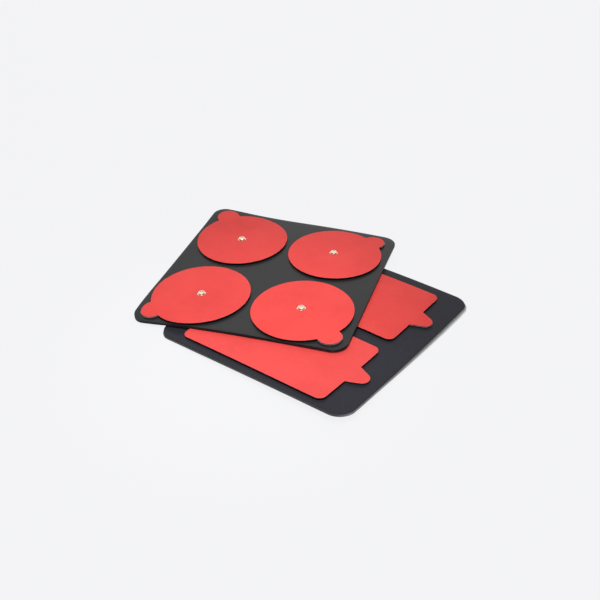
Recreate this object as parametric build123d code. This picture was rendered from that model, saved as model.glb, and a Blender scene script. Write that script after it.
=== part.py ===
from build123d import *
import os
from math import acos, atan2, cos, hypot, radians, sin

# A set of self-adhesive stimulation electrodes for a muscle / nerve stimulator,
# stored on two black release cards.  The lower card carries two rectangular
# pads, and the upper card, which lies askew on top, carries four round pads.
# Every pad is a laminate: hydrogel, carbon film, soft cover with a pull tab,
# a clear backing film under the tab, and a two-piece riveted snap contact.
#
# Row frame, millimetres: +Z up, origin at the centre of the lower card's
# underside, +X towards the pull tabs of the rectangular pads.

# ---------------------------------------------------------------- dimensions
CARD = 120.0            # side of both square cards
CARD_T = 1.5            # card thickness
LOWER_CORNER_R = 8.8    # corner radius, lower card
UPPER_CORNER_R = 8.0    # corner radius, upper card
CARD_EDGE_R = 0.15      # softened top and bottom edges of a card

GEL_T = 0.75            # hydrogel layer
FILM_T = 0.15           # conductive carbon film
COVER_T = 0.50          # soft red cover
FILM_INSET = 0.20       # film edge inside the cover edge
GEL_INSET = 0.20        # gel edge inside the cover edge
COVER_EDGE_R = 0.15     # softened upper edge of the cover

BACKING_T = 0.20        # backing film under the pull tab
BACKING_PROUD = 0.15    # how far it shows past the tab

ROUND_R = 27.5          # round pad, 55 mm across
ROUND_TAB_R = (6.9, 6.6, 6.4, 6.5)          # round pull tab of each pad
ROUND_TAB_D = (28.7, 27.8, 28.2, 27.5)      # pad centre to tab centre
ROUND_X = 29.5          # half pitch of the four pads along the card's x
ROUND_Y = 30.0          # half pitch along the card's y
ROUND_SHIFT = (-0.3, -2.35)         # the group sits a little off the middle
ROUND_TAB_DEG = (130.2, 48.1, -42.4, -136.1)   # where each tab points
ROUND_SNAP = ((-0.3, 0.0), (-0.8, 0.7), (-0.9, 1.0), (0.0, 0.6))   # each snap's place from its pad's middle

RECT_L = 90.0           # rectangular pad, along x
RECT_W = 50.0           # rectangular pad, along y
RECT_CORNER_R = 4.0
RECT_Y = (-31.3, 27.3)  # centre lines of the two pads on the lower card
RECT_TAB_D = 4.6        # pad end to the centre of the tab's round tip
RECT_TAB_R = 4.4        # radius of that tip
RECT_TAB_HALF = 6.85    # half width of the tab at its root
RECT_SNAP = (-6.0, 0.0) # the snap sits off the pad's middle, away from the tab

HOLE_R = 2.5            # opening in the cover around the snap
FLANGE_R = 4.0          # snap stud's base flange
FLANGE_T = 0.25
NECK_R = 1.75
NECK_H = 0.13
CROWN_R = 1.95          # snap crown, 3.9 mm across
CROWN_TOP = 0.95        # crown top above the carbon film
CROWN_FILLET = 0.25
DIMPLE_R = 1.25         # shallow dimple in the crown
DIMPLE_BOTTOM_R = 0.95
DIMPLE_D = 0.25
CAVITY_R = 1.60         # hollow inside the stud that the rivet head fills
CAVITY_LIP = 0.12
CAVITY_TOP = 0.55
LIP_R = 1.10
EYELET_R = 3.25         # rear rivet half, buried in the gel
EYELET_T = 0.20
POST_R = 1.00
POST_BORE_R = 0.60
HEAD_R = 1.45           # spread end of the rivet post
HEAD_BOTTOM = 0.14
HEAD_TOP = 0.42

STACK_GAP = 0.05        # upper card just clear of the lower pads' snaps
UPPER_XY = (-42.7, 14.3)
UPPER_DEG = 19.35

PAD_T = GEL_T + FILM_T + COVER_T
FILM_TOP = GEL_T + FILM_T
LOWER_TOP = CARD_T
UPPER_Z = LOWER_TOP + FILM_TOP + CROWN_TOP + STACK_GAP
UPPER_TOP = UPPER_Z + CARD_T

os.makedirs("parts", exist_ok=True)


def prism(face, z0, z1):
    """A plane outline raised from z0 to z1."""
    return Pos(0, 0, z0) * extrude(face, z1 - z0)


def card(corner_r):
    """A square card with rounded corners and softened edges, underside at z = 0."""
    body = extrude(RectangleRounded(CARD, CARD, corner_r), CARD_T)
    rims = body.edges().group_by(Axis.Z)
    return fillet(list(rims[0]) + list(rims[-1]), CARD_EDGE_R)


def disc(r, x=0.0, y=0.0):
    return Pos(x, y) * Circle(r)


def round_tab(r, d, deg):
    """The disc of a pull tab, d from the pad's centre."""
    return disc(r, d * cos(radians(deg)), d * sin(radians(deg)))


def round_outline(grow=0.0, tab=None):
    """Round pad outline, with its pull tab's disc joined if one is given, grown by a margin."""
    base = disc(ROUND_R + grow)
    return base + tab if tab is not None else base


def rect_tab(grow=0.0):
    """Tapered tab with a round tip: its sides run from the root to the tip circle along tangents."""
    x0 = RECT_L / 2 - 2.0
    cx, r = RECT_L / 2 + RECT_TAB_D, RECT_TAB_R + grow
    bx, by = RECT_L / 2, RECT_TAB_HALF + grow
    d = hypot(cx - bx, by)
    base = atan2(by, bx - cx)              # from the tip's centre to the root's corner
    t = base - acos(r / d)                 # tangent point, seen from the tip's centre
    tx, ty = cx + r * cos(t), r * sin(t)
    blade = Polygon((x0, -by), (bx, -by), (tx, -ty), (tx, ty), (bx, by), (x0, by), align=None)
    return blade + disc(r, cx, 0)


def rect_outline(grow=0.0, tab=True):
    base = RectangleRounded(RECT_L + 2 * grow, RECT_W + 2 * grow, RECT_CORNER_R + grow)
    return base + rect_tab(grow) if tab else base


def soften_top(solid, r):
    """Round the outer rim of a layer's upper face, but leave the middle opening sharp."""
    top = solid.faces().sort_by(Axis.Z)[-1]
    return fillet(top.outer_wire().edges(), r)


def make_cover(outline, snap):
    body = prism(outline, FILM_TOP, PAD_T)
    body = soften_top(body, COVER_EDGE_R)
    body -= prism(disc(HOLE_R, *snap), FILM_TOP - 1, PAD_T + 1)
    body -= prism(disc(FLANGE_R + 0.1, *snap), FILM_TOP - 1, FILM_TOP + FLANGE_T + 0.02)
    return body


def make_gel(outline, snap):
    return prism(outline, 0, GEL_T) - prism(disc(EYELET_R + 0.05, *snap), GEL_T - EYELET_T, GEL_T + 1)


def make_film(outline, snap):
    return prism(outline, GEL_T, FILM_TOP) - prism(disc(POST_R + 0.05, *snap), GEL_T - 1, FILM_TOP + 1)


def make_stud():
    """Front half of the snap: flange, neck, low crown with a dimple, hollow for the rivet head."""
    z = FILM_TOP
    neck = z + FLANGE_T
    crown = neck + NECK_H
    top = z + CROWN_TOP
    outer = Polyline(
        (LIP_R, z), (FLANGE_R, z), (FLANGE_R, neck), (NECK_R, neck), (NECK_R, crown - 0.05),
        (CROWN_R, crown), (CROWN_R, top - CROWN_FILLET),
    )
    shoulder = RadiusArc((CROWN_R, top - CROWN_FILLET), (CROWN_R - CROWN_FILLET, top), -CROWN_FILLET)
    inner = Polyline(
        (CROWN_R - CROWN_FILLET, top), (DIMPLE_R, top), (DIMPLE_BOTTOM_R, top - DIMPLE_D), (0, top - DIMPLE_D),
        (0, z + CAVITY_TOP), (CAVITY_R, z + CAVITY_TOP), (CAVITY_R, z + CAVITY_LIP), (LIP_R, z + CAVITY_LIP), (LIP_R, z),
    )
    profile = make_face([*outer.edges(), *shoulder.edges(), *inner.edges()])
    return revolve(Plane.XZ * profile, Axis.Z)


def make_eyelet():
    """Rear half of the snap: a flanged hollow rivet, its post spread inside the stud."""
    z = GEL_T - EYELET_T
    f = FILM_TOP
    profile = make_face(Polyline(
        (POST_BORE_R, z), (EYELET_R, z), (EYELET_R, GEL_T), (POST_R, GEL_T), (POST_R, f + HEAD_BOTTOM),
        (HEAD_R, f + HEAD_BOTTOM), (HEAD_R, f + HEAD_BOTTOM + 0.10), (POST_R, f + HEAD_TOP), (POST_BORE_R, f + HEAD_TOP),
        (POST_BORE_R, z),
    ))
    return revolve(Plane.XZ * profile, Axis.Z)


def make_backing(tab_face, blank_face):
    """Film under the pull tab only: the tab's outline less the pad's own field."""
    return prism(tab_face - blank_face, FILM_TOP - BACKING_T, FILM_TOP)


def save(shape, node, where):
    placed = where * shape
    solids = placed.solids()
    export_step(Compound(solids) if len(solids) > 1 else solids[0], f"parts/{node}.step")


# ---------------------------------------------------------------- the cards
save(card(LOWER_CORNER_R), "lower_card", Pos(0, 0, 0))
upper = Pos(UPPER_XY[0], UPPER_XY[1], 0) * Rot(0, 0, UPPER_DEG)
save(card(UPPER_CORNER_R), "upper_card", Pos(0, 0, UPPER_Z) * upper)

# ---------------------------------------------------------------- round pads
CORNERS = ((-1, 1), (1, 1), (1, -1), (-1, -1))
for i, ((sx, sy), r, d, deg, snap) in enumerate(zip(CORNERS, ROUND_TAB_R, ROUND_TAB_D, ROUND_TAB_DEG, ROUND_SNAP), start=1):
    name = f"round_pad_{i}"
    here = Pos(0, 0, UPPER_TOP) * upper * Pos(sx * ROUND_X + ROUND_SHIFT[0], sy * ROUND_Y + ROUND_SHIFT[1], 0)
    save(make_gel(round_outline(-GEL_INSET), snap), name + "_gel", here)
    save(make_film(round_outline(-FILM_INSET), snap), name + "_carbon_film", here)
    save(make_cover(round_outline(0, round_tab(r, d, deg)), snap), name + "_cover", here)
    save(make_backing(round_tab(r + BACKING_PROUD, d, deg), disc(ROUND_R - 0.2)), name + "_tab_backing", here)
    save(make_stud(), name + "_snap_stud", here * Pos(*snap, 0))
    save(make_eyelet(), name + "_snap_eyelet", here * Pos(*snap, 0))

# ---------------------------------------------------------------- rectangular pads
for i, y in enumerate(RECT_Y, start=1):
    name = f"rect_pad_{i}"
    here = Pos(0, y, LOWER_TOP)
    save(make_gel(rect_outline(-GEL_INSET, tab=False), RECT_SNAP), name + "_gel", here)
    save(make_film(rect_outline(-FILM_INSET, tab=False), RECT_SNAP), name + "_carbon_film", here)
    save(make_cover(rect_outline(0), RECT_SNAP), name + "_cover", here)
    save(make_backing(rect_tab(BACKING_PROUD), rect_outline(-0.2, tab=False)), name + "_tab_backing", here)
    save(make_stud(), name + "_snap_stud", here * Pos(*RECT_SNAP, 0))
    save(make_eyelet(), name + "_snap_eyelet", here * Pos(*RECT_SNAP, 0))
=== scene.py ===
import math
import bpy
import numpy as np
from mathutils import Matrix, Vector


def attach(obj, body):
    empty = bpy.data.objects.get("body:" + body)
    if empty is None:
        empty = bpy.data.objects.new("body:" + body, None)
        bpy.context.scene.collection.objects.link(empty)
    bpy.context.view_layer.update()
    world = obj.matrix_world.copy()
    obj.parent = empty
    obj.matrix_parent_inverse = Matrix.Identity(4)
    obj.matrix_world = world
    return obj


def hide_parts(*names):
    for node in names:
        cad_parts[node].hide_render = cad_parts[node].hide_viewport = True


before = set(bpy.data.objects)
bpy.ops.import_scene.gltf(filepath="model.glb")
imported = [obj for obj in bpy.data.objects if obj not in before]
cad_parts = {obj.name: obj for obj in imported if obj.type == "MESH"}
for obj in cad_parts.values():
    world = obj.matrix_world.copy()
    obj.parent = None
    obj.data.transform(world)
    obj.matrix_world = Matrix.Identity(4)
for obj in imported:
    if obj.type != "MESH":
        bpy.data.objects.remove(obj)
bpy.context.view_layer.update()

scene = bpy.context.scene

# ------------------------------------------------------------------ sizes, millimetres, the same as the CAD
CARD, CARD_T, LOWER_CORNER_R, UPPER_CORNER_R = 120.0, 1.5, 8.8, 8.0
GEL_T, FILM_T, COVER_T = 0.75, 0.15, 0.50
FILM_TOP, PAD_T = GEL_T + FILM_T, GEL_T + FILM_T + COVER_T
FILM_INSET, GEL_INSET, BACKING_T, BACKING_PROUD = 0.20, 0.20, 0.20, 0.15
ROUND_R, ROUND_TAB_R, ROUND_TAB_D = 27.5, (6.9, 6.6, 6.4, 6.5), (28.7, 27.8, 28.2, 27.5)
ROUND_X, ROUND_Y, ROUND_SHIFT = 29.5, 30.0, (-0.3, -2.35)
ROUND_TAB_DEG = (130.2, 48.1, -42.4, -136.1)
ROUND_SNAP = ((-0.3, 0.0), (-0.8, 0.7), (-0.9, 1.0), (0.0, 0.6))
RECT_L, RECT_W, RECT_CORNER_R, RECT_Y = 90.0, 50.0, 4.0, (-31.3, 27.3)
RECT_TAB_D, RECT_TAB_R, RECT_TAB_HALF, RECT_SNAP = 4.6, 4.4, 6.85, (-6.0, 0.0)
HOLE_R, FLANGE_R, FLANGE_T, NECK_R, NECK_H, CROWN_R, CROWN_TOP, CROWN_FILLET = 2.5, 4.0, 0.25, 1.75, 0.13, 1.95, 0.95, 0.25
DIMPLE_R, DIMPLE_BOTTOM_R, DIMPLE_D = 1.25, 0.95, 0.25
CAVITY_R, CAVITY_LIP, CAVITY_TOP, LIP_R = 1.60, 0.12, 0.55, 1.10
EYELET_R, EYELET_T, POST_R, POST_BORE_R, HEAD_R, HEAD_BOTTOM, HEAD_TOP = 3.25, 0.20, 1.00, 0.60, 1.45, 0.14, 0.42
UPPER_XY, UPPER_DEG, UPPER_TOP = (-42.7, 14.3), 19.35, 4.90

# ------------------------------------------------------------------ how the two cards have bowed
# Real release cards aren't flat: each is twisted by a few millimetres. Both stacks follow these
# smooth surfaces, and every layer keeps its own thickness.
K = 27.5
LOW = (-0.0078239, -0.0089752, 0.0025921)                     # xy, xx, yy
LOW_3 = (0.0012644, -0.0031404, 0.0041130, -0.0011149)        # xxx, xxy, xyy, yyy
UP = (-0.0156952, -0.0026355, 0.0008539)
UP_3 = (-0.0027491, 0.0009462, -0.0016731, -0.0024565)
UP_DROOP, UP_DROOP_FROM = 0.055, 3.3                          # the free corner at -x -y hangs a little
UP_DIP = ((0.90, -45.0, 16.0), (0.35, 32.0, 20.0))            # and so do two places on its -y edge: depth, x, width, mm
UP_RISE = ((-0.60, -54.0, 17.0), (0.38, -14.0, 22.0))         # its +y edge curls up at one end and sinks a little beside it
UP_TILT = (0.0223902, -0.0154461)
UP_HEIGHT = 3.373 + 0.12        # the upper card's top over the lower card's top, at its middle


def _rot(ax, a):
    c, s = math.cos(a), math.sin(a)
    return np.array({
        "x": [[1, 0, 0], [0, c, -s], [0, s, c]],
        "y": [[c, 0, s], [0, 1, 0], [-s, 0, c]],
        "z": [[c, -s, 0], [s, c, 0], [0, 0, 1]]}[ax])


UP_ROT = _rot("z", math.radians(UPPER_DEG)) @ _rot("y", UP_TILT[1]) @ _rot("x", UP_TILT[0])


def bow(x, y, second, third):
    return K * (second[0] * x * y + second[1] * x * x + second[2] * y * y
                + third[0] * x ** 3 + third[1] * x * x * y + third[2] * x * y * y + third[3] * y ** 3)


_g = np.linspace(-CARD / 2, CARD / 2, 61) / K
_gx, _gy = np.meshgrid(_g, _g)
_c = (CARD / 2 - LOWER_CORNER_R) / K
_on = np.hypot(np.maximum(abs(_gx) - _c, 0), np.maximum(abs(_gy) - _c, 0)) <= LOWER_CORNER_R / K
LIFT = 0.02 - float(bow(_gx, _gy, LOW, LOW_3)[_on].min())     # keeps the lowest edge on the floor


def low(p):
    """A point of the flat lower stack, put on the bowed lower card."""
    p = np.asarray(p, float)
    x, y = p[..., 0] / K, p[..., 1] / K
    return np.stack([p[..., 0], p[..., 1], p[..., 2] + bow(x, y, LOW, LOW_3) + LIFT], -1)


def up(p):
    """A point of the flat upper stack, in that card's own axes with z = 0 at its top face."""
    p = np.asarray(p, float)
    x, y = p[..., 0] / K, p[..., 1] / K
    dz = bow(x, y, UP, UP_3) - K * UP_DROOP * np.clip(-x - y - UP_DROOP_FROM, 0, None) ** 2
    s = np.clip((-p[..., 1] - 46.0) / 14.0, 0, 1)
    for depth, at_x, width in UP_DIP:
        dz = dz - depth * np.exp(-((p[..., 0] - at_x) / width) ** 2) * s * s * (3 - 2 * s)
    s = np.clip((p[..., 1] - 34.0) / 26.0, 0, 1)
    for depth, at_x, width in UP_RISE:
        dz = dz - depth * np.exp(-((p[..., 0] - at_x) / width) ** 2) * s * s * (3 - 2 * s)
    q = np.stack([p[..., 0], p[..., 1], p[..., 2] + dz], -1) @ UP_ROT.T
    return q + np.array([UPPER_XY[0], UPPER_XY[1], UP_HEIGHT + CARD_T + LIFT])


# ------------------------------------------------------------------ mesh helpers
def arc(cx, cy, r, a0, a1, n):
    a = np.linspace(a0, a1, n)
    return np.column_stack([cx + r * np.cos(a), cy + r * np.sin(a)])


def rounded_square(half, r, n_arc=18, n_side=26):
    out = []
    for k in range(4):
        a = k * math.pi / 2
        c = np.array([half - r, half - r])
        corner = arc(c[0], c[1], r, 0, math.pi / 2, n_arc)
        side = np.column_stack([np.linspace(half - r, -(half - r), n_side + 2)[1:-1], np.full(n_side, half)])
        seg = np.vstack([corner, side])
        m = np.array([[math.cos(a), -math.sin(a)], [math.sin(a), math.cos(a)]])
        out.append(seg @ m.T)
    return np.vstack(out)


def round_outline(grow, tab_r, D, tab_rad, neck=0.7):
    """Round pad with its tab, the tab joined by small concave necks. Always the same number of points."""
    R, t = ROUND_R + grow, tab_r + grow
    n = max(0.15, neck - grow)
    a, c = R + n, t + n
    phi = math.acos((a * a + D * D - c * c) / (2 * a * D))          # neck centre seen from the pad's centre
    N = np.array([a * math.cos(phi), a * math.sin(phi)])
    psi = math.atan2(N[1], N[0] - D)                                # neck centre seen from the tab's centre
    tab = arc(D, 0, t, -psi, psi, 49)
    back = math.atan2(-N[1], D - N[0])
    n_top = arc(N[0], N[1], n, back, -math.pi + phi, 9) if back > -math.pi + phi else arc(N[0], N[1], n, back, -math.pi + phi, 9)
    main = arc(0, 0, R, phi, 2 * math.pi - phi, 150)
    n_bot = n_top[::-1] * np.array([1, -1])
    o = np.vstack([tab, n_top[1:-1], main, n_bot[1:-1]])
    m = np.array([[math.cos(tab_rad), -math.sin(tab_rad)], [math.sin(tab_rad), math.cos(tab_rad)]])
    return o @ m.T


def circle(r, like=None, n=96, at=(0.0, 0.0)):
    """A circle; with like=, its points lie on the same rays as that outline's."""
    if like is None:
        return arc(at[0], at[1], r, 0, 2 * math.pi, n + 1)[:-1]
    d = like - np.array(at)
    return np.array(at) + r * d / np.linalg.norm(d, axis=1)[:, None]


def tangent_tab(grow):
    cx, r = RECT_L / 2 + RECT_TAB_D, RECT_TAB_R + grow
    bx, by = RECT_L / 2, RECT_TAB_HALF + grow
    d = math.hypot(cx - bx, by)
    t = math.atan2(by, bx - cx) - math.acos(r / d)
    return cx, r, bx, by, t


def rect_outline(grow):
    """Rectangular pad with its tapered tab at +x. Always the same number of points."""
    hl, hw, rc = RECT_L / 2 + grow, RECT_W / 2 + grow, RECT_CORNER_R + grow
    cx, r, bx, by, t = tangent_tab(grow)
    bx = hl
    tip = arc(cx, 0, r, -t, t, 33)
    side = np.linspace(tip[-1], (bx, by), 9)[1:]
    # the small concave root
    root = np.array([[bx, by]])
    end = np.linspace((bx, by), (hl, hw - rc), 16)[1:-1]
    c1 = arc(hl - rc, hw - rc, rc, 0, math.pi / 2, 12)
    top = np.linspace((hl - rc, hw), (-hl + rc, hw), 62)[1:-1]
    c2 = arc(-hl + rc, hw - rc, rc, math.pi / 2, math.pi, 12)
    left = np.linspace((-hl, hw - rc), (-hl, -hw + rc), 36)[1:-1]
    half = np.vstack([side, end, c1, top, c2])
    low_half = half[::-1] * np.array([1, -1])
    return np.vstack([tip, half, left, low_half])


def ring_points(a, b, n):
    """n loops from a to b, without a and b."""
    return [a + (b - a) * k / (n + 1) for k in range(1, n + 1)]


def z_of(xy, z):
    return np.column_stack([xy, np.full(len(xy), z) if np.isscalar(z) else z])


def loops_to_mesh(name, loops, place, closed=False, cap_first=False, cap_last=False, highlight_marks=None, angle=32.0):
    """Quads between matching loops. closed joins the last loop to the first; a cap is a fan to the loop's middle."""
    n = len(loops[0])
    V = [tuple(p) for L in loops for p in L]
    F = []
    m = len(loops)
    for i in range(m if closed else m - 1):
        a, b = i * n, ((i + 1) % m) * n
        for j in range(n):
            k = (j + 1) % n
            F.append((a + j, a + k, b + k, b + j))
    if cap_first:
        V.append(tuple(np.mean(loops[0], 0)))
        c = len(V) - 1
        F += [(c, (j + 1) % n, j) for j in range(n)]
    if cap_last:
        V.append(tuple(np.mean(loops[-1], 0)))
        c, b = len(V) - 1, (m - 1) * n
        F += [(c, b + j, b + (j + 1) % n) for j in range(n)]
    return finish_mesh(name, V, F, place, highlight_marks, n, angle)


def finish_mesh(name, V, F, place, highlight_marks=None, n=0, angle=32.0):
    P = place(np.array(V, float)) * 0.001
    me = bpy.data.meshes.new(name)
    me.from_pydata(P.tolist(), [], F)
    me.validate()
    import bmesh
    bm = bmesh.new()
    bm.from_mesh(me)
    bmesh.ops.recalc_face_normals(bm, faces=bm.faces[:])
    bm.to_mesh(me)
    bm.free()
    me.polygons.foreach_set("use_smooth", [True] * len(me.polygons))
    me.set_sharp_from_angle(angle=math.radians(angle))
    if highlight_marks is not None:
        # the rim attribute carries the painted edge highlights of the covers and the cards
        at = me.attributes.new("rim", "FLOAT", "POINT")
        vals = np.zeros(len(me.vertices), dtype=np.float32)
        for i, v in highlight_marks.items():
            vals[i * n:(i + 1) * n] = v
        at.data.foreach_set("value", vals)
    ob = bpy.data.objects.new(name, me)
    scene.collection.objects.link(ob)
    return ob


def rounded_edge(outline_at, z_top, r, n=5):
    """Loops round a softened upper edge, from the flat top out to the wall."""
    out = []
    for k in range(n + 1):
        a = k / n * math.pi / 2
        out.append(z_of(outline_at(-r * (1 - math.sin(a))), z_top - r * (1 - math.cos(a))))
    return out


# ------------------------------------------------------------------ materials
def new_material(name):
    m = bpy.data.materials.new(name)
    m.use_nodes = True
    nt = m.node_tree
    nt.nodes.clear()
    out = nt.nodes.new("ShaderNodeOutputMaterial")
    b = nt.nodes.new("ShaderNodeBsdfPrincipled")
    nt.links.new(b.outputs[0], out.inputs[0])
    return m, nt, b


def node(nt, kind, **inputs):
    x = nt.nodes.new(kind)
    for k, v in inputs.items():
        if k in x.inputs:
            x.inputs[k].default_value = v
        else:
            setattr(x, k, v)
    return x


def noise(nt, coord, scale, detail=3.0, rough=0.5):
    x = nt.nodes.new("ShaderNodeTexNoise")
    x.inputs["Scale"].default_value = scale
    x.inputs["Detail"].default_value = detail
    x.inputs["Roughness"].default_value = rough
    nt.links.new(coord, x.inputs["Vector"])
    return x


def ramp(nt, fac, stops):
    r = nt.nodes.new("ShaderNodeValToRGB")
    e = r.color_ramp.elements
    e[0].position, e[0].color = stops[0][0], (*stops[0][1], 1)
    e[1].position, e[1].color = stops[-1][0], (*stops[-1][1], 1)
    for pos, col in stops[1:-1]:
        q = e.new(pos)
        q.color = (*col, 1)
    nt.links.new(fac, r.inputs[0])
    return r


def mix(nt, kind, fac, a, b, blend="MIX"):
    m = nt.nodes.new("ShaderNodeMix")
    m.data_type = kind
    if kind == "RGBA":
        m.blend_type = blend
    fi = m.inputs[0]
    if kind == "RGBA":
        ia, ib, o = m.inputs[6], m.inputs[7], m.outputs[2]
    else:
        ia, ib, o = m.inputs[2], m.inputs[3], m.outputs[0]
    for sock, v in ((fi, fac), (ia, a), (ib, b)):
        if hasattr(v, "is_output") or isinstance(v, bpy.types.NodeSocket):
            nt.links.new(v, sock)
        else:
            sock.default_value = v if not isinstance(v, tuple) else (*v, 1)
    return o


def bump(nt, bsdf, height, strength, distance):
    b = nt.nodes.new("ShaderNodeBump")
    b.inputs["Strength"].default_value = strength
    b.inputs["Distance"].default_value = distance
    nt.links.new(height, b.inputs["Height"])
    nt.links.new(b.outputs[0], bsdf.inputs["Normal"])
    return b


def cover_material(painted_light_scale=(1.0, 1.0, 1.0)):
    """A red face. The rim mark paints a lighter-red highlight on its softened edge, and where the core mark is full the
    cut side and the underside by the edge are painted near-black as shade.
    The tone scale darkens some covers' red as painted shade and raises one cover's green and blue as a painted sheen."""
    m, nt, b = new_material("soft_red_cover")
    co = nt.nodes.new("ShaderNodeTexCoord").outputs["Object"]
    cloud = noise(nt, co, 55.0, 3.0, 0.55)
    base = ramp(nt, cloud.outputs["Fac"], [(p_, tuple(t_ * c_ for t_, c_ in zip(painted_light_scale, q_))) for p_, q_ in ((0.30, (0.775, 0.056, 0.049)), (0.50, (0.82, 0.062, 0.055)), (0.70, (0.845, 0.068, 0.060)))])
    fine = noise(nt, co, 900.0, 2.0, 0.6)
    tone = ramp(nt, fine.outputs["Fac"], [(0.25, (0.90, 0.90, 0.90)), (0.75, (1.0, 1.0, 1.0))])
    col = mix(nt, "RGBA", 1.0, base.outputs[0], tone.outputs[0], "MULTIPLY")
    # painted highlight: where the rim mark is full, the softened edge is painted a lighter red
    rim = nt.nodes.new("ShaderNodeAttribute")
    rim.attribute_name = "rim"
    col = mix(nt, "RGBA", rim.outputs["Fac"], col, (0.92, 0.14, 0.13))
    # painted shade: where the core mark is full, the cover's cut side is painted near-black
    core = nt.nodes.new("ShaderNodeAttribute")
    core.attribute_name = "core"
    col = mix(nt, "RGBA", core.outputs["Fac"], col, (0.004, 0.003, 0.003))
    nt.links.new(col, b.inputs["Base Color"])
    rr = ramp(nt, fine.outputs["Fac"], [(0.2, (0.56, 0.56, 0.56)), (0.8, (0.68, 0.68, 0.68))])
    nt.links.new(rr.outputs[0], b.inputs["Roughness"])
    b.inputs["IOR"].default_value = 1.42
    b.inputs["Specular IOR Level"].default_value = 0.35
    grain = noise(nt, co, 3200.0, 2.0, 0.6)
    bump(nt, b, grain.outputs["Fac"], 0.25, 0.00004)
    return m


def card_material(name, shades, sheen, wall_tone=(0.85, 0.85, 0.83)):
    """Black release coating, even all over. shades: the two tones that its faint clouding runs between; the rim mark
    paints a broken highlight along the top arris;
    sheen: how strongly the coating reflects; the wall colour is painted on the cut wall where its mark is full, a
    painted highlight on the lower card's +x wall and painted shade on the upper card's walls."""
    m, nt, b = new_material(name)
    co = nt.nodes.new("ShaderNodeTexCoord").outputs["Object"]
    cloud = noise(nt, co, 14.0, 2.0, 0.5)
    base = ramp(nt, cloud.outputs["Fac"], [(0.35, shades[0]), (0.65, shades[1])])
    grain = noise(nt, co, 1500.0, 3.0, 0.6)
    tone = ramp(nt, grain.outputs["Fac"], [(0.30, (0.74, 0.74, 0.74)), (0.70, (1.12, 1.12, 1.12))])
    col = mix(nt, "RGBA", 1.0, base.outputs[0], tone.outputs[0], "MULTIPLY")
    # painted highlight: a lighter line, broken up by noise, along the top arris where the rim mark is full
    rim = nt.nodes.new("ShaderNodeAttribute")
    rim.attribute_name = "rim"
    arris_highlight_noise = noise(nt, co, 220.0, 2.0, 0.5)
    arris_highlight_ramp = ramp(nt, arris_highlight_noise.outputs["Fac"], [(0.40, (0.25, 0.25, 0.25)), (0.60, (1.0, 1.0, 1.0))])
    amount = nt.nodes.new("ShaderNodeMath")
    amount.operation = "MULTIPLY"
    nt.links.new(rim.outputs["Fac"], amount.inputs[0])
    nt.links.new(arris_highlight_ramp.outputs[0], amount.inputs[1])
    col = mix(nt, "RGBA", amount.outputs[0], col, (0.026, 0.026, 0.028))
    # the wall colour: a painted highlight on the lower card's +x wall, painted shade on the upper card's walls
    wall = nt.nodes.new("ShaderNodeAttribute")
    wall.attribute_name = "wall_tone"
    patch = noise(nt, co, 60.0, 2.0, 0.5)
    pr = ramp(nt, patch.outputs["Fac"], [(0.35, tuple(0.86 * c for c in wall_tone)), (0.65, wall_tone)])
    col = mix(nt, "RGBA", wall.outputs["Fac"], col, pr.outputs[0])
    nt.links.new(col, b.inputs["Base Color"])
    dull = ramp(nt, grain.outputs["Fac"], [(0.2, (0.27, 0.27, 0.27)), (0.8, (0.33, 0.33, 0.33))])
    rough = mix(nt, "FLOAT", wall.outputs["Fac"], dull.outputs[0], 0.48)
    nt.links.new(rough, b.inputs["Roughness"])
    b.inputs["IOR"].default_value = 1.48
    b.inputs["Specular IOR Level"].default_value = sheen
    bump(nt, b, grain.outputs["Fac"], 0.20, 0.00004)
    return m


def film_material():
    m, nt, b = new_material("carbon_black_film")
    co = nt.nodes.new("ShaderNodeTexCoord").outputs["Object"]
    g = noise(nt, co, 1800.0, 2.0, 0.6)
    base = ramp(nt, g.outputs["Fac"], [(0.3, (0.0012, 0.0010, 0.0012)), (0.7, (0.0025, 0.0022, 0.0025))])
    nt.links.new(base.outputs[0], b.inputs["Base Color"])
    b.inputs["Roughness"].default_value = 0.55
    b.inputs["Specular IOR Level"].default_value = 0.05
    bump(nt, b, g.outputs["Fac"], 0.2, 0.00003)
    return m


def gel_material():
    m, nt, b = new_material("hydrogel_over_black")
    co = nt.nodes.new("ShaderNodeTexCoord").outputs["Object"]
    g = noise(nt, co, 260.0, 2.0, 0.5)
    base = ramp(nt, g.outputs["Fac"], [(0.3, (0.0012, 0.0010, 0.0012)), (0.7, (0.0025, 0.0022, 0.0025))])
    nt.links.new(base.outputs[0], b.inputs["Base Color"])
    b.inputs["Roughness"].default_value = 0.30
    b.inputs["IOR"].default_value = 1.36
    b.inputs["Specular IOR Level"].default_value = 0.07
    bump(nt, b, g.outputs["Fac"], 0.15, 0.00006)
    return m


def backing_material():
    m, nt, b = new_material("tab_backing_film")
    co = nt.nodes.new("ShaderNodeTexCoord").outputs["Object"]
    g = noise(nt, co, 400.0, 2.0, 0.5)
    base = ramp(nt, g.outputs["Fac"], [(0.3, (0.25, 0.24, 0.26)), (0.7, (0.34, 0.33, 0.35))])
    nt.links.new(base.outputs[0], b.inputs["Base Color"])
    b.inputs["Roughness"].default_value = 0.22
    b.inputs["Transmission Weight"].default_value = 0.15
    bump(nt, b, g.outputs["Fac"], 0.1, 0.00003)
    return m


def metal_material():
    m, nt, b = new_material("nickel_plate")
    co = nt.nodes.new("ShaderNodeTexCoord").outputs["Object"]
    g = noise(nt, co, 700.0, 3.0, 0.6)
    base = ramp(nt, g.outputs["Fac"], [(0.3, (0.92, 0.80, 0.62)), (0.7, (1.0, 0.90, 0.72))])
    nt.links.new(base.outputs[0], b.inputs["Base Color"])
    b.inputs["Metallic"].default_value = 1.0
    rr = ramp(nt, g.outputs["Fac"], [(0.3, (0.13, 0.13, 0.13)), (0.7, (0.20, 0.20, 0.20))])
    nt.links.new(rr.outputs[0], b.inputs["Roughness"])
    bump(nt, b, g.outputs["Fac"], 0.12, 0.00004)
    return m


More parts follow.
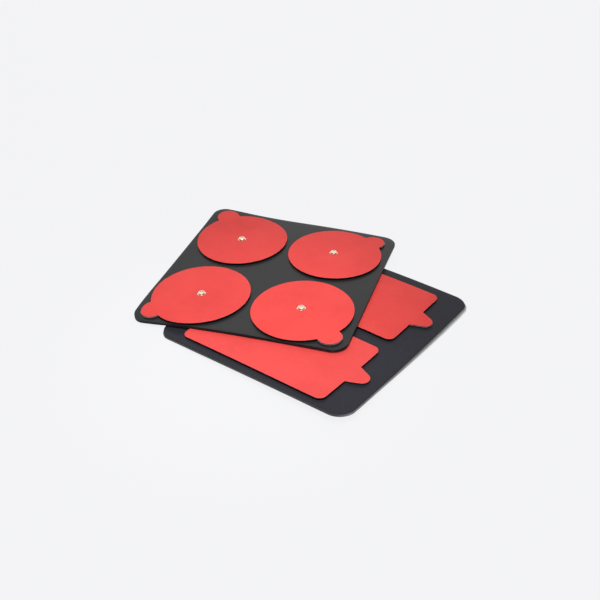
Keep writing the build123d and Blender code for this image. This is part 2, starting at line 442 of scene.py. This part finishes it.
MAT = {
    "cover": cover_material(),
    # cover_1, cover_4 and cover_rear are one red darkened as painted shade; cover_front has its green and blue raised
    # as a painted sheen
    "cover_1": cover_material((0.955, 0.95, 0.95)),
    "cover_4": cover_material((0.945, 0.95, 0.955)),
    "cover_front": cover_material((0.975, 1.12, 1.16)),
    "cover_rear": cover_material((0.93, 0.93, 0.93)),
    "film": film_material(),
    "gel": gel_material(),
    "backing": backing_material(),
    "metal": metal_material(),
    "lower": card_material("release_card_lower", ((0.0268, 0.0268, 0.0345), (0.0300, 0.0300, 0.0380)), 0.08),
    # the upper card's near-black wall colour is painted shade
    "upper": card_material("release_card_upper", ((0.0206, 0.0205, 0.0212), (0.0232, 0.0230, 0.0232)), 0.24, wall_tone=(0.006, 0.006, 0.007)),
}


def dress(ob, mat, body, cad_node):
    ob.data.materials.clear()
    ob.data.materials.append(MAT[mat])
    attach(ob, body)
    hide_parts(cad_node)
    return ob


# ------------------------------------------------------------------ the two release cards
def make_card(name, corner_r, place, mat, body, cad_node, z0, wall, plus_x_highlight=0.0, ledge=((0.1, 0.1), (0.1, 0.1))):
    """Two-ply card: a flat top, softened edges and a fine seam round the wall between the plies.
    ledge: how far the lower ply stands out, on the +x side at its -y and +y ends, and on the -y side at its -x and +x ends."""
    half = CARD / 2

    def at(g):
        return rounded_square(half + g, corner_r + g)

    # wall profile (outward offset, height), from the top flat down to the bottom flat
    prof = []
    r = 0.14
    for k in range(5):
        a = k / 4 * math.pi / 2
        prof.append((-r * (1 - math.sin(a)), CARD_T - r * (1 - math.cos(a))))
    mid = CARD_T / 2
    prof += [(0.0, mid + 0.16), (-0.04, mid + 0.09), (-0.15, mid + 0.03), (-0.15, mid - 0.03), (-0.04, mid - 0.09), (0.0, mid - 0.16)]
    for k in range(5):
        a = k / 4 * math.pi / 2
        prof.append((-r * (1 - math.cos(a)), r - r * math.sin(a)))
    flat_xy = rounded_square(half, corner_r)
    near_x = np.clip((flat_xy[:, 0] - (half - corner_r)) / corner_r, 0, 1) ** 1.3
    near_y = np.clip((-flat_xy[:, 1] - (half - corner_r)) / corner_r, 0, 1) ** 2
    by_y, by_x = (np.clip((flat_xy[:, k] + 30) / 60, 0, 1) for k in (1, 0))
    (a0, a1), (b0, b1) = ledge
    out_xy = np.column_stack([(a0 + (a1 - a0) * by_y) * near_x, -(b0 + (b1 - b0) * by_x) * near_y])
    edge = [z_of(at(o) + (out_xy if h < mid else 0.0), h) for o, h in prof]
    top_ring, bot_ring = edge[0][:, :2], edge[-1][:, :2]
    inner = top_ring * 0.02
    inner_b = bot_ring * 0.02
    top = [z_of(inner, CARD_T)] + [z_of(q, CARD_T) for q in ring_points(inner, top_ring, 22)]
    bot = [z_of(q, 0.0) for q in ring_points(bot_ring, inner_b, 22)] + [z_of(inner_b, 0.0)]
    loops = top + edge + bot
    # the rim marks on the top arris carry a painted highlight
    highlight_marks = {len(top) + k: v for k, v in zip(range(5), (0.0, 0.6, 1.0, 0.7, 0.2))}
    loops = [L + np.array([0, 0, z0]) for L in loops]
    ob = loops_to_mesh(name, loops, place, cap_first=True, cap_last=True, highlight_marks=highlight_marks, angle=40)
    # the lower card's walls are a little paler than its faces, and its +x wall carries a painted highlight that grows
    # towards +y; the upper card's walls are painted near-black as shade
    at_ = ob.data.attributes.new("wall_tone", "FLOAT", "POINT")
    n = len(loops[0])
    v = np.zeros(len(ob.data.vertices), dtype=np.float32)
    xy = rounded_square(half, corner_r)
    along = np.clip((xy[:, 1] + half) / CARD, 0, 1)
    facing = np.clip((xy[:, 0] - (half - corner_r * 0.55)) / (corner_r * 0.45), 0, 1) ** 1.5
    amount = wall + (plus_x_highlight - wall) * facing * (0.17 + 0.83 * along ** 1.5) if plus_x_highlight else np.full(n, wall)
    # per-loop strength of the painted wall colour, which lays the lower card's +x highlight in pale stripes with a
    # darker hairline between
    for k in range(3, len(edge) - 1):
        v[(len(top) + k) * n:(len(top) + k + 1) * n] = amount * {3: 0.25, 4: 0.55, 6: 0.7, 7: 0.15, 8: 0.8}.get(k, 1.0)
    at_.data.foreach_set("value", v)
    return dress(ob, mat, body, cad_node)


# the lower card's +x wall gets a painted highlight; the upper card's walls get painted near-black shade
make_card("card_lower", LOWER_CORNER_R, low, "lower", "lower_card", "lower_card", 0.0, 0.06, plus_x_highlight=1.0, ledge=((0.12, 1.20), (0.80, 0.10)))
make_card("card_upper", UPPER_CORNER_R, up, "upper", "upper_card", "upper_card", -CARD_T, 1.0, ledge=((0.0, 0.0), (0.15, 0.15)))


# ------------------------------------------------------------------ pad layers
def make_cover(name, at, snap, place, z, body, cad_node):
    er = 0.16
    edge = rounded_edge(at, PAD_T, er)
    outer_top = edge[0][:, :2]
    hole = circle(HOLE_R, like=outer_top, at=snap)
    lip = circle(HOLE_R + 0.10, like=outer_top, at=snap)
    recess = circle(FLANGE_R + 0.1, like=outer_top, at=snap)
    under = at(0.0)
    top = [z_of(hole, PAD_T - 0.10), z_of(circle(HOLE_R + 0.03, like=outer_top, at=snap), PAD_T - 0.03), z_of(lip, PAD_T)]
    top += [z_of(q, PAD_T) for q in ring_points(lip, outer_top, 16)]
    below = [z_of(under, PAD_T - er - 0.03), z_of(under, FILM_TOP + 0.02), z_of(at(-0.04), FILM_TOP)]
    below += [z_of(q, FILM_TOP) for q in ring_points(at(-0.04), recess, 10)]
    below += [z_of(recess, FILM_TOP), z_of(recess, FILM_TOP + FLANGE_T + 0.02), z_of(hole, FILM_TOP + FLANGE_T + 0.02)]
    loops = top + edge + below
    i0 = len(top)
    # the rim marks paint a lighter-red highlight round the cover's softened edge
    highlight_marks = {i0 + 2: 0.35, i0 + 3: 0.8, i0 + 4: 1.0, i0 + 5: 0.8}
    loops = [L + np.array([0, 0, z]) for L in loops]
    ob = loops_to_mesh(name, loops, place, closed=True, highlight_marks=highlight_marks)
    n = len(loops[0])
    # the cut side and the underside by the edge are painted near-black: painted shade under the pad's edge
    painted_side_shade = np.zeros(len(ob.data.vertices), dtype=np.float32)
    painted_side_shade[(i0 + 4) * n:(i0 + 5) * n] = 0.35
    painted_side_shade[(i0 + 5) * n:(i0 + 10) * n] = 1.0
    ob.data.attributes.new("core", "FLOAT", "POINT").data.foreach_set("value", painted_side_shade)
    # the covers named here get their red scaled as painted light and shade
    dress(ob, {"round_pad_1_cover": "cover_1", "round_pad_4_cover": "cover_4", "rect_pad_1_cover": "cover_front", "rect_pad_2_cover": "cover_rear"}.get(cad_node, "cover"), body, cad_node)
    return ob


def make_film(name, at, snap, place, z, body, cad_node):
    o = at(-FILM_INSET)
    h = circle(POST_R + 0.05, like=o, at=snap)
    loops = [z_of(h, FILM_TOP)] + [z_of(q, FILM_TOP) for q in ring_points(h, o, 10)] + [z_of(o, FILM_TOP), z_of(o, GEL_T)]
    loops += [z_of(q, GEL_T) for q in ring_points(o, h, 10)] + [z_of(h, GEL_T)]
    loops = [L + np.array([0, 0, z]) for L in loops]
    return dress(loops_to_mesh(name, loops, place, closed=True), "film", body, cad_node)


def make_gel(name, at, snap, place, z, body, cad_node):
    o = at(-GEL_INSET)
    pocket = circle(EYELET_R + 0.05, like=o, at=snap)
    core = circle(0.4, like=o, at=snap)
    side = [z_of(o, GEL_T)]
    for k in range(1, 6):                       # the soft gel spreads a little towards its foot
        t = k / 6
        side.append(z_of(at(-GEL_INSET + 0.14 * math.sin(math.pi / 2 * t)), GEL_T * (1 - t)))
    side.append(z_of(at(-GEL_INSET + 0.14), 0.0))
    loops = [z_of(core, GEL_T - EYELET_T), z_of(pocket, GEL_T - EYELET_T), z_of(pocket, GEL_T)]
    loops += [z_of(q, GEL_T) for q in ring_points(pocket, o, 8)] + side
    loops += [z_of(q, 0.0) for q in ring_points(o, core, 10)] + [z_of(core, 0.0)]
    loops = [L + np.array([0, 0, z]) for L in loops]
    return dress(loops_to_mesh(name, loops, place, cap_first=True, cap_last=True), "gel", body, cad_node)


def strip_solid(name, outer, inner, z0, z1, place, body, cad_node):
    """A thin film between two matching open lines, closed at both ends."""
    n = len(outer)
    rows = [z_of(outer, z1), z_of((outer + inner) / 2, z1), z_of(inner, z1), z_of(inner, z0), z_of((outer + inner) / 2, z0), z_of(outer, z0)]
    V = [tuple(p) for r in rows for p in r]
    F = []
    for i in range(6):
        a, b = i * n, ((i + 1) % 6) * n
        for j in range(n - 1):
            F.append((a + j, a + j + 1, b + j + 1, b + j))
    for j in (0, n - 1):
        F.append((0 * n + j, 1 * n + j, 4 * n + j, 5 * n + j))
        F.append((1 * n + j, 2 * n + j, 3 * n + j, 4 * n + j))
    ob = finish_mesh(name, V, F, place)
    return dress(ob, "backing", body, cad_node)


def revolve(name, profile, at, z, place, mat, body, cad_node, n=64, smooth=28.0):
    """A turned part: closed profile of (radius, height) points round the snap's own axis."""
    loops = [np.column_stack([circle(r, n=n, at=at), np.full(n, z + h)]) for r, h in profile]
    first, last = profile[0][0] < 1e-6, profile[-1][0] < 1e-6
    if first and last:
        ob = loops_to_mesh(name, loops[1:-1], place, cap_first=True, cap_last=True, angle=smooth)
        # the two axis points sit at the profile's own heights
    else:
        ob = loops_to_mesh(name, loops, place, closed=True, angle=smooth)
    return dress(ob, mat, body, cad_node)


def stud_profile():
    z = FILM_TOP
    neck = z + FLANGE_T
    crown = neck + NECK_H
    top = z + CROWN_TOP
    p = [(0, z + CAVITY_TOP), (0.5, z + CAVITY_TOP), (CAVITY_R - 0.05, z + CAVITY_TOP), (CAVITY_R, z + CAVITY_TOP - 0.05), (CAVITY_R, z + CAVITY_LIP), (LIP_R, z + CAVITY_LIP), (LIP_R, z), (FLANGE_R, z)]
    for k in range(4):                           # rolled rim of the flange
        a = -math.pi / 2 + k / 3 * math.pi
        p.append((FLANGE_R - 0.10 + 0.10 * math.cos(a), z + FLANGE_T / 2 + 0.125 * math.sin(a)))
    p += [(NECK_R + 0.12, neck), (NECK_R + 0.03, neck + 0.03), (NECK_R, neck + 0.07), (NECK_R + 0.05, crown - 0.03), (CROWN_R - 0.03, crown), (CROWN_R, crown + 0.04)]
    f = CROWN_FILLET
    for k in range(7):
        a = k / 6 * math.pi / 2
        p.append((CROWN_R - f + f * math.cos(a), top - f + f * math.sin(a)))
    p += [(DIMPLE_R + 0.10, top), (DIMPLE_R + 0.02, top - 0.02), (DIMPLE_R - 0.06, top - 0.08), (DIMPLE_BOTTOM_R + 0.06, top - DIMPLE_D + 0.05), (DIMPLE_BOTTOM_R - 0.06, top - DIMPLE_D + 0.01), (DIMPLE_BOTTOM_R - 0.25, top - DIMPLE_D), (0.3, top - DIMPLE_D), (0, top - DIMPLE_D)]
    return p


def eyelet_profile():
    z, f = GEL_T - EYELET_T, FILM_TOP
    return [(POST_BORE_R, z + 0.04), (POST_BORE_R + 0.05, z), (EYELET_R - 0.06, z), (EYELET_R, z + 0.06), (EYELET_R, GEL_T - 0.04), (EYELET_R - 0.04, GEL_T), (POST_R, GEL_T), (POST_R, f + HEAD_BOTTOM), (HEAD_R, f + HEAD_BOTTOM), (HEAD_R, f + HEAD_BOTTOM + 0.08), (POST_R + 0.05, f + HEAD_TOP), (POST_BORE_R, f + HEAD_TOP)]


def polygon_area(o):
    x, y = o[:, 0], o[:, 1]
    return 0.5 * abs(float(np.dot(x, np.roll(y, -1)) - np.dot(y, np.roll(x, -1)))) * 1e-6


def make_pad(pad, at_local, snap, centre, place_stack, z, body, tab_outer, tab_inner):
    """All the layers of one pad. at_local gives its outline about its own centre."""
    c = np.array(centre)

    def place(p):
        p = np.asarray(p, float)
        return place_stack(np.column_stack([p[:, 0] + c[0], p[:, 1] + c[1], p[:, 2]]))

    kind = pad.replace("_pad_", "_")
    film = make_film("film_" + kind, at_local, snap, place, z, body, pad + "_carbon_film")
    make_gel("gel_" + kind, at_local_plain(pad), snap, place, z, body, pad + "_gel")
    area = polygon_area(at_local(0.0)) - math.pi * (HOLE_R * 0.001) ** 2
    make_cover("cover_" + kind, at_local, snap, place, z, body, pad + "_cover")
    strip_solid("backing_" + kind, tab_outer, tab_inner, z + FILM_TOP - BACKING_T, z + FILM_TOP - 0.002, place, body, pad + "_tab_backing")
    revolve("stud_" + kind, stud_profile(), snap, z, place, "metal", body, pad + "_snap_stud")
    revolve("eyelet_" + kind, eyelet_profile(), snap, z, place, "metal", body, pad + "_snap_eyelet")


PLAIN = {}


def at_local_plain(pad):
    return PLAIN[pad]


def round_plain(g):
    return arc(0, 0, ROUND_R + g, 0, 2 * math.pi, 181)[:-1]


def rect_plain(g):
    hl, hw, rc = RECT_L / 2 + g, RECT_W / 2 + g, RECT_CORNER_R + g
    q = np.vstack([arc(hl - rc, hw - rc, rc, 0, math.pi / 2, 10), np.linspace((hl - rc, hw), (-hl + rc, hw), 50)[1:-1]])
    q2 = np.vstack([arc(-hl + rc, hw - rc, rc, math.pi / 2, math.pi, 10), np.linspace((-hl, hw - rc), (-hl, -hw + rc), 30)[1:-1]])
    return np.vstack([q, q2, -q, -q2])


# ------------------------------------------------------------------ round pads, on the upper card
CORNERS = ((-1, 1), (1, 1), (1, -1), (-1, -1))
for i, ((sx, sy), tab_r, tab_d, deg) in enumerate(zip(CORNERS, ROUND_TAB_R, ROUND_TAB_D, ROUND_TAB_DEG), start=1):
    pad = f"round_pad_{i}"
    a = math.radians(deg)
    rot = np.array([[math.cos(a), -math.sin(a)], [math.sin(a), math.cos(a)]])

    def at(g, a=a, tab_r=tab_r, tab_d=tab_d):
        return round_outline(g, tab_r, tab_d, a)

    PLAIN[pad] = round_plain
    t = tab_r + BACKING_PROUD
    inner_r = ROUND_R - FILM_INSET + 0.12
    lim = math.acos((inner_r ** 2 + tab_d ** 2 - t ** 2) / (2 * inner_r * tab_d))
    p0 = (inner_r * math.cos(lim), inner_r * math.sin(lim))
    psi = math.atan2(p0[1], p0[0] - tab_d)
    outer = arc(tab_d, 0, t, -psi, psi, 61) @ rot.T
    inner = arc(0, 0, inner_r, -lim * 0.995, lim * 0.995, 61) @ rot.T
    # the card's top is z = 0 in the upper card's own axes
    make_pad(pad, at, ROUND_SNAP[i - 1], (sx * ROUND_X + ROUND_SHIFT[0], sy * ROUND_Y + ROUND_SHIFT[1]), up, 0.0, pad, outer, inner)

# ------------------------------------------------------------------ rectangular pads, on the lower card
for i, y in enumerate(RECT_Y, start=1):
    pad = f"rect_pad_{i}"
    PLAIN[pad] = rect_plain
    cx, r, bx, by, t = tangent_tab((-0.15, 0.05)[i - 1])
    tip = arc(cx, 0, r, -t, t, 33)
    x0 = RECT_L / 2 - FILM_INSET + 0.12
    side = np.linspace(tip[-1], (bx, by), 9)[1:]
    side = np.vstack([side, [[x0, by]]])
    outer = np.vstack([(side[::-1] * np.array([1, -1])), tip, side])
    inner = np.column_stack([np.full(len(outer), x0), np.clip(outer[:, 1], -by, by)])
    ts = np.linspace(-by * 0.999, by * 0.999, len(outer))
    inner[:, 1] = ts
    make_pad(pad, rect_outline, RECT_SNAP, (0.0, y), low, CARD_T, pad, outer, inner)

# ------------------------------------------------------------------ floor, light and camera
def floor():
    me = bpy.data.meshes.new("floor")
    s = 3.0
    me.from_pydata([(-s, -s, 0), (s, -s, 0), (s, s, 0), (-s, s, 0)], [], [(0, 1, 2, 3)])
    ob = bpy.data.objects.new("floor", me)
    scene.collection.objects.link(ob)
    m, nt, b = new_material("pale_floor")
    b.inputs["Base Color"].default_value = (0.06, 0.06, 0.06, 1)
    b.inputs["Roughness"].default_value = 0.9
    b.inputs["Specular IOR Level"].default_value = 0.0
    b.inputs["Emission Color"].default_value = (0.905, 0.905, 0.925, 1)
    b.inputs["Emission Strength"].default_value = 0.94
    me.materials.append(m)
    ob.location.z = -0.0002
    return ob


floor()

world = bpy.data.worlds.new("studio")
scene.world = world
world.use_nodes = True
bg = world.node_tree.nodes.get("Background")
bg.inputs[0].default_value = (0.98, 0.99, 1.0, 1)
bg.inputs[1].default_value = 0.35


BACK_RADIANCE = 0.58


def area_light(name, at, aim, size, power, color=(1, 1, 1), size_y=None):
    d = bpy.data.lights.new(name, "AREA")
    d.energy = power
    d.color = color
    d.shape = "RECTANGLE"
    d.size = size
    d.size_y = size_y or size
    o = bpy.data.objects.new(name, d)
    o.location = at
    o.rotation_euler = (Vector(aim) - Vector(at)).to_track_quat("-Z", "Y").to_euler()
    o.visible_camera = False
    scene.collection.objects.link(o)
    return o


def spot_light(name, at, aim, reach, soft, power):
    """A soft round pool of light: reach is its radius on the floor."""
    d = bpy.data.lights.new(name, "SPOT")
    d.energy = power
    d.spot_blend = 1.0
    far = (Vector(aim) - Vector(at)).length
    d.spot_size = 2 * math.atan(reach / far)
    d.shadow_soft_size = soft
    o = bpy.data.objects.new(name, d)
    o.location = at
    o.rotation_euler = (Vector(aim) - Vector(at)).to_track_quat("-Z", "Y").to_euler()
    scene.collection.objects.link(o)
    return o


def toward(azimuth, elevation, distance):
    a, e = math.radians(azimuth), math.radians(elevation)
    return (distance * math.cos(e) * math.cos(a), distance * math.cos(e) * math.sin(a), distance * math.sin(e))


# a white reflector behind, whose sheen lies on the black cards, a large soft light in front and above, and a soft pool in the middle
area_light("back", toward(128, 32, 0.90), (-0.02, 0.01, 0.0), 1.30, BACK_RADIANCE * math.pi * 1.30 * 0.90, size_y=0.90)
area_light("front", toward(-48, 56, 1.80), (-0.02, 0.0, 0.0), 1.10, 17.5)
spot_light("pool", (0.13, -0.16, 0.50), (-0.018, -0.037, 0.0), 0.122, 0.03, 5.7)

scene.view_settings.view_transform = "Standard"
scene.view_settings.look = "None"
scene.view_settings.exposure = 0.0
scene.view_settings.gamma = 1.0

W = (2.0791176, 0.7046355, -0.4021519)
T = (0.3228892, 0.2657313, 13.9989762)
FOCAL = 721.139


def rodrigues(w):
    w = np.array(w)
    th = np.linalg.norm(w)
    k = w / th
    S = np.array([[0, -k[2], k[1]], [k[2], 0, -k[0]], [-k[1], k[0], 0]])
    return np.eye(3) + math.sin(th) * S + (1 - math.cos(th)) * (S @ S)


R_ = rodrigues(W)
eye = -R_.T @ np.array(T) * K + np.array([0, 0, CARD_T + LIFT])
cam_data = bpy.data.cameras.new("camera")
cam_data.sensor_width = 36.0
cam_data.lens = FOCAL / 600 * 36.0
cam_data.clip_start = 0.01
cam_data.clip_end = 20
cam = bpy.data.objects.new("camera", cam_data)
m = Matrix.Identity(4)
for r_ in range(3):
    m[r_][0], m[r_][1], m[r_][2] = R_[0][r_], -R_[1][r_], -R_[2][r_]
    m[r_][3] = float(eye[r_]) * 0.001
cam.matrix_world = m
scene.collection.objects.link(cam)
scene.camera = cam
